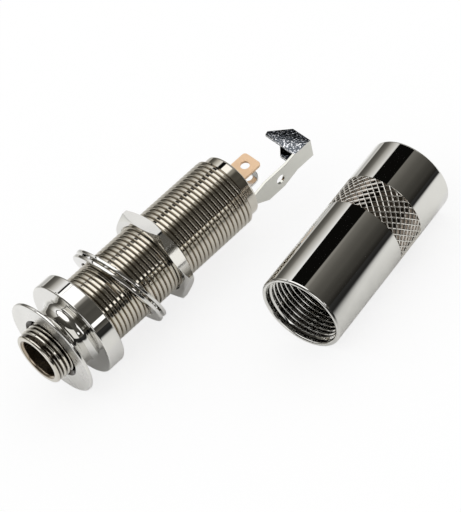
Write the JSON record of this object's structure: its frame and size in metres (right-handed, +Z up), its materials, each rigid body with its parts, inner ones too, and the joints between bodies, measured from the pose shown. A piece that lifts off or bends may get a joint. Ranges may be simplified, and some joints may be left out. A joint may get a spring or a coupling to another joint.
{
  "type": "quarter inch phone jack",
  "caption": "Stereo end-pin phone jack: threaded barrel with strap button, washers, hex nut and solder lugs, its knurled cover taken off and lying beside it.",
  "frame": {"origin": "centre of the plug mouth, on the jack's axis, at the front edge of the neck", "axes": "+X along the jack from the plug mouth to the cable end, +Z up, away from the surface it lies on"},
  "size_m": [0.0581, 0.0444, 0.0166],
  "materials": {
    "nickel": "bright nickel plate on brass",
    "nickel_sheet": "nickel plate on brass sheet, satin",
    "copper": "bare copper-coloured sheet, satin",
    "spring_metal": "spring alloy, satin",
    "fibre": "brown laminated board, matt",
    "liner": "thin translucent insulating tube, matt"
  },
  "bodies": {
    "jack": {"barrel": "nickel", "strap_button": "nickel", "cover": "nickel", "ground_arm": "nickel_sheet", "tip_terminal": "copper", "ring_terminal": "nickel_sheet", "front_insulator": "fibre", "middle_insulator": "fibre", "rear_insulator": "fibre", "liner_tube": "liner"},
    "washers": {"flat_washer": "nickel", "lock_washer": "nickel"},
    "nut": {"hex_nut": "nickel"},
    "tip_leaf": {"tip_spring": "spring_metal"},
    "ring_leaf": {"ring_spring": "spring_metal"}
  },
  "joints": [
    {"name": "washer_travel", "type": "slide", "parent": "jack", "child": "washers", "axis": [1, 0, 0], "range_m": [-0.004, 0.0137]},
    {"name": "nut_turn", "type": "hinge", "parent": "washers", "child": "nut", "pos_m": [0.0246, 0, 0], "axis": [1, 0, 0], "range_deg": [-1815.2, 6214.5]},
    {"name": "tip_leaf_flex", "type": "hinge", "parent": "jack", "child": "tip_leaf", "pos_m": [0.03788, -0.00101, 0.0034], "axis": [0, 0.9588, 0.284], "range_deg": [0, 4.8], "stiffness_Nm_per_rad": 0.1},
    {"name": "ring_leaf_flex", "type": "hinge", "parent": "jack", "child": "ring_leaf", "pos_m": [0.03788, 0.00101, -0.0034], "axis": [0, -0.9588, -0.284], "range_deg": [0, 2.3], "stiffness_Nm_per_rad": 0.1}
  ],
  "couplings": [
    {"joint": "nut_turn", "follows": "washer_travel", "rad_per_m": 7915.8}
  ]
}
